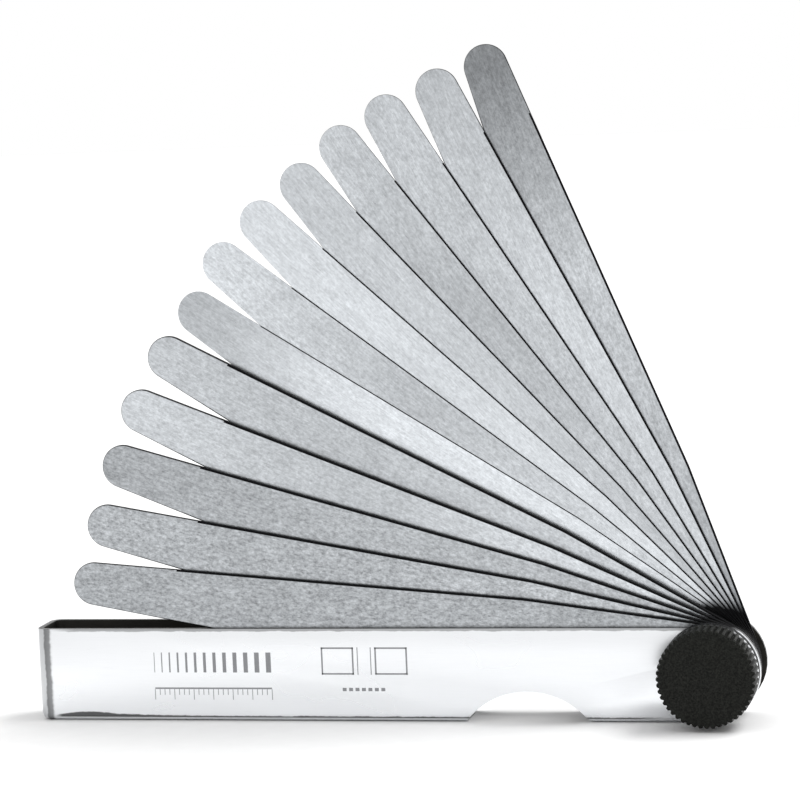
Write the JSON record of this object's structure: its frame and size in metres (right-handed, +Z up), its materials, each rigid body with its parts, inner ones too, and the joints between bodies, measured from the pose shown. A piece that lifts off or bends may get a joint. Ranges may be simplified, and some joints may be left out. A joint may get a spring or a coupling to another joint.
{
  "type": "feeler gauge",
  "caption": "Fan of tapered steel feeler leaves on a pivot in a folded steel case with a thumb notch, clamped by a knurled black knob.",
  "frame": {"origin": "on the ground under the middle of the whole object's box at rest, with the leaves fanned out", "axes": "+X along the case from its closed end to the pivot, +Y through the stack from the knob to the back, +Z up from the case's folded edge"},
  "size_m": [0.1062, 0.016, 0.096],
  "materials": {
    "plated_case": "bright nickel plating with faint drawing lines",
    "leaf_steel": "ground spring steel, satin, fine mottled grain",
    "turned_steel": "turned, zinc-bright",
    "black_plastic": "moulded, matt, fine texture",
    "brass": "turned"
  },
  "bodies": {
    "case": {"case": "plated_case", "pivot_screw": "turned_steel", "pivot_sleeve": "turned_steel", "wave_washer": "turned_steel"},
    "leaf_060": {"leaf_060": "leaf_steel"},
    "leaf_070": {"leaf_070": "leaf_steel"},
    "leaf_080": {"leaf_080": "leaf_steel"},
    "leaf_090": {"leaf_090": "leaf_steel"},
    "leaf_100": {"leaf_100": "leaf_steel"},
    "leaf_005": {"leaf_005": "leaf_steel"},
    "leaf_010": {"leaf_010": "leaf_steel"},
    "leaf_015": {"leaf_015": "leaf_steel"},
    "leaf_020": {"leaf_020": "leaf_steel"},
    "leaf_025": {"leaf_025": "leaf_steel"},
    "leaf_030": {"leaf_030": "leaf_steel"},
    "leaf_040": {"leaf_040": "leaf_steel"},
    "leaf_050": {"leaf_050": "leaf_steel"},
    "clamp_washer": {"knob_washer": "plated_case"},
    "knob": {"knob": "black_plastic", "knob_insert": "brass"}
  },
  "joints": [
    {"name": "leaf_060_hinge", "type": "hinge", "parent": "case", "child": "leaf_060", "pos_m": [0.04608, -0.00164, 0.0075], "axis": [0, 1, 0], "range_deg": [-8, 172]},
    {"name": "leaf_070_hinge", "type": "hinge", "parent": "case", "child": "leaf_070", "pos_m": [0.04608, -0.00164, 0.0075], "axis": [0, 1, 0], "range_deg": [-13.5, 166.5]},
    {"name": "leaf_080_hinge", "type": "hinge", "parent": "case", "child": "leaf_080", "pos_m": [0.04608, -0.00164, 0.0075], "axis": [0, 1, 0], "range_deg": [-19.2, 160.8]},
    {"name": "leaf_090_hinge", "type": "hinge", "parent": "case", "child": "leaf_090", "pos_m": [0.04608, -0.00164, 0.0075], "axis": [0, 1, 0], "range_deg": [-24.6, 155.4]},
    {"name": "leaf_100_hinge", "type": "hinge", "parent": "case", "child": "leaf_100", "pos_m": [0.04608, -0.00164, 0.0075], "axis": [0, 1, 0], "range_deg": [-30.1, 149.9]},
    {"name": "leaf_005_hinge", "type": "hinge", "parent": "case", "child": "leaf_005", "pos_m": [0.04608, -0.00164, 0.0075], "axis": [0, 1, 0], "range_deg": [-35.1, 144.9]},
    {"name": "leaf_010_hinge", "type": "hinge", "parent": "case", "child": "leaf_010", "pos_m": [0.04608, -0.00164, 0.0075], "axis": [0, 1, 0], "range_deg": [-40.2, 139.8]},
    {"name": "leaf_015_hinge", "type": "hinge", "parent": "case", "child": "leaf_015", "pos_m": [0.04608, -0.00164, 0.0075], "axis": [0, 1, 0], "range_deg": [-45.4, 134.6]},
    {"name": "leaf_020_hinge", "type": "hinge", "parent": "case", "child": "leaf_020", "pos_m": [0.04608, -0.00164, 0.0075], "axis": [0, 1, 0], "range_deg": [-50.5, 129.5]},
    {"name": "leaf_025_hinge", "type": "hinge", "parent": "case", "child": "leaf_025", "pos_m": [0.04608, -0.00164, 0.0075], "axis": [0, 1, 0], "range_deg": [-55.5, 124.5]},
    {"name": "leaf_030_hinge", "type": "hinge", "parent": "case", "child": "leaf_030", "pos_m": [0.04608, -0.00164, 0.0075], "axis": [0, 1, 0], "range_deg": [-60.5, 119.5]},
    {"name": "leaf_040_hinge", "type": "hinge", "parent": "case", "child": "leaf_040", "pos_m": [0.04608, -0.00164, 0.0075], "axis": [0, 1, 0], "range_deg": [-65.7, 114.3]},
    {"name": "leaf_050_hinge", "type": "hinge", "parent": "case", "child": "leaf_050", "pos_m": [0.04608, -0.00164, 0.0075], "axis": [0, 1, 0], "range_deg": [-70.6, 109.4]},
    {"name": "washer_slide", "type": "slide", "parent": "case", "child": "clamp_washer", "axis": [0, -1, 0], "range_m": [0, 0.0014]},
    {"name": "knob_turn", "type": "hinge", "parent": "clamp_washer", "child": "knob", "pos_m": [0.04608, -0.006, 0.0075], "axis": [0, -1, 0], "range_deg": [0, 720]}
  ],
  "couplings": [
    {"joint": "knob_turn", "follows": "washer_slide", "rad_per_m": 8976}
  ]
}
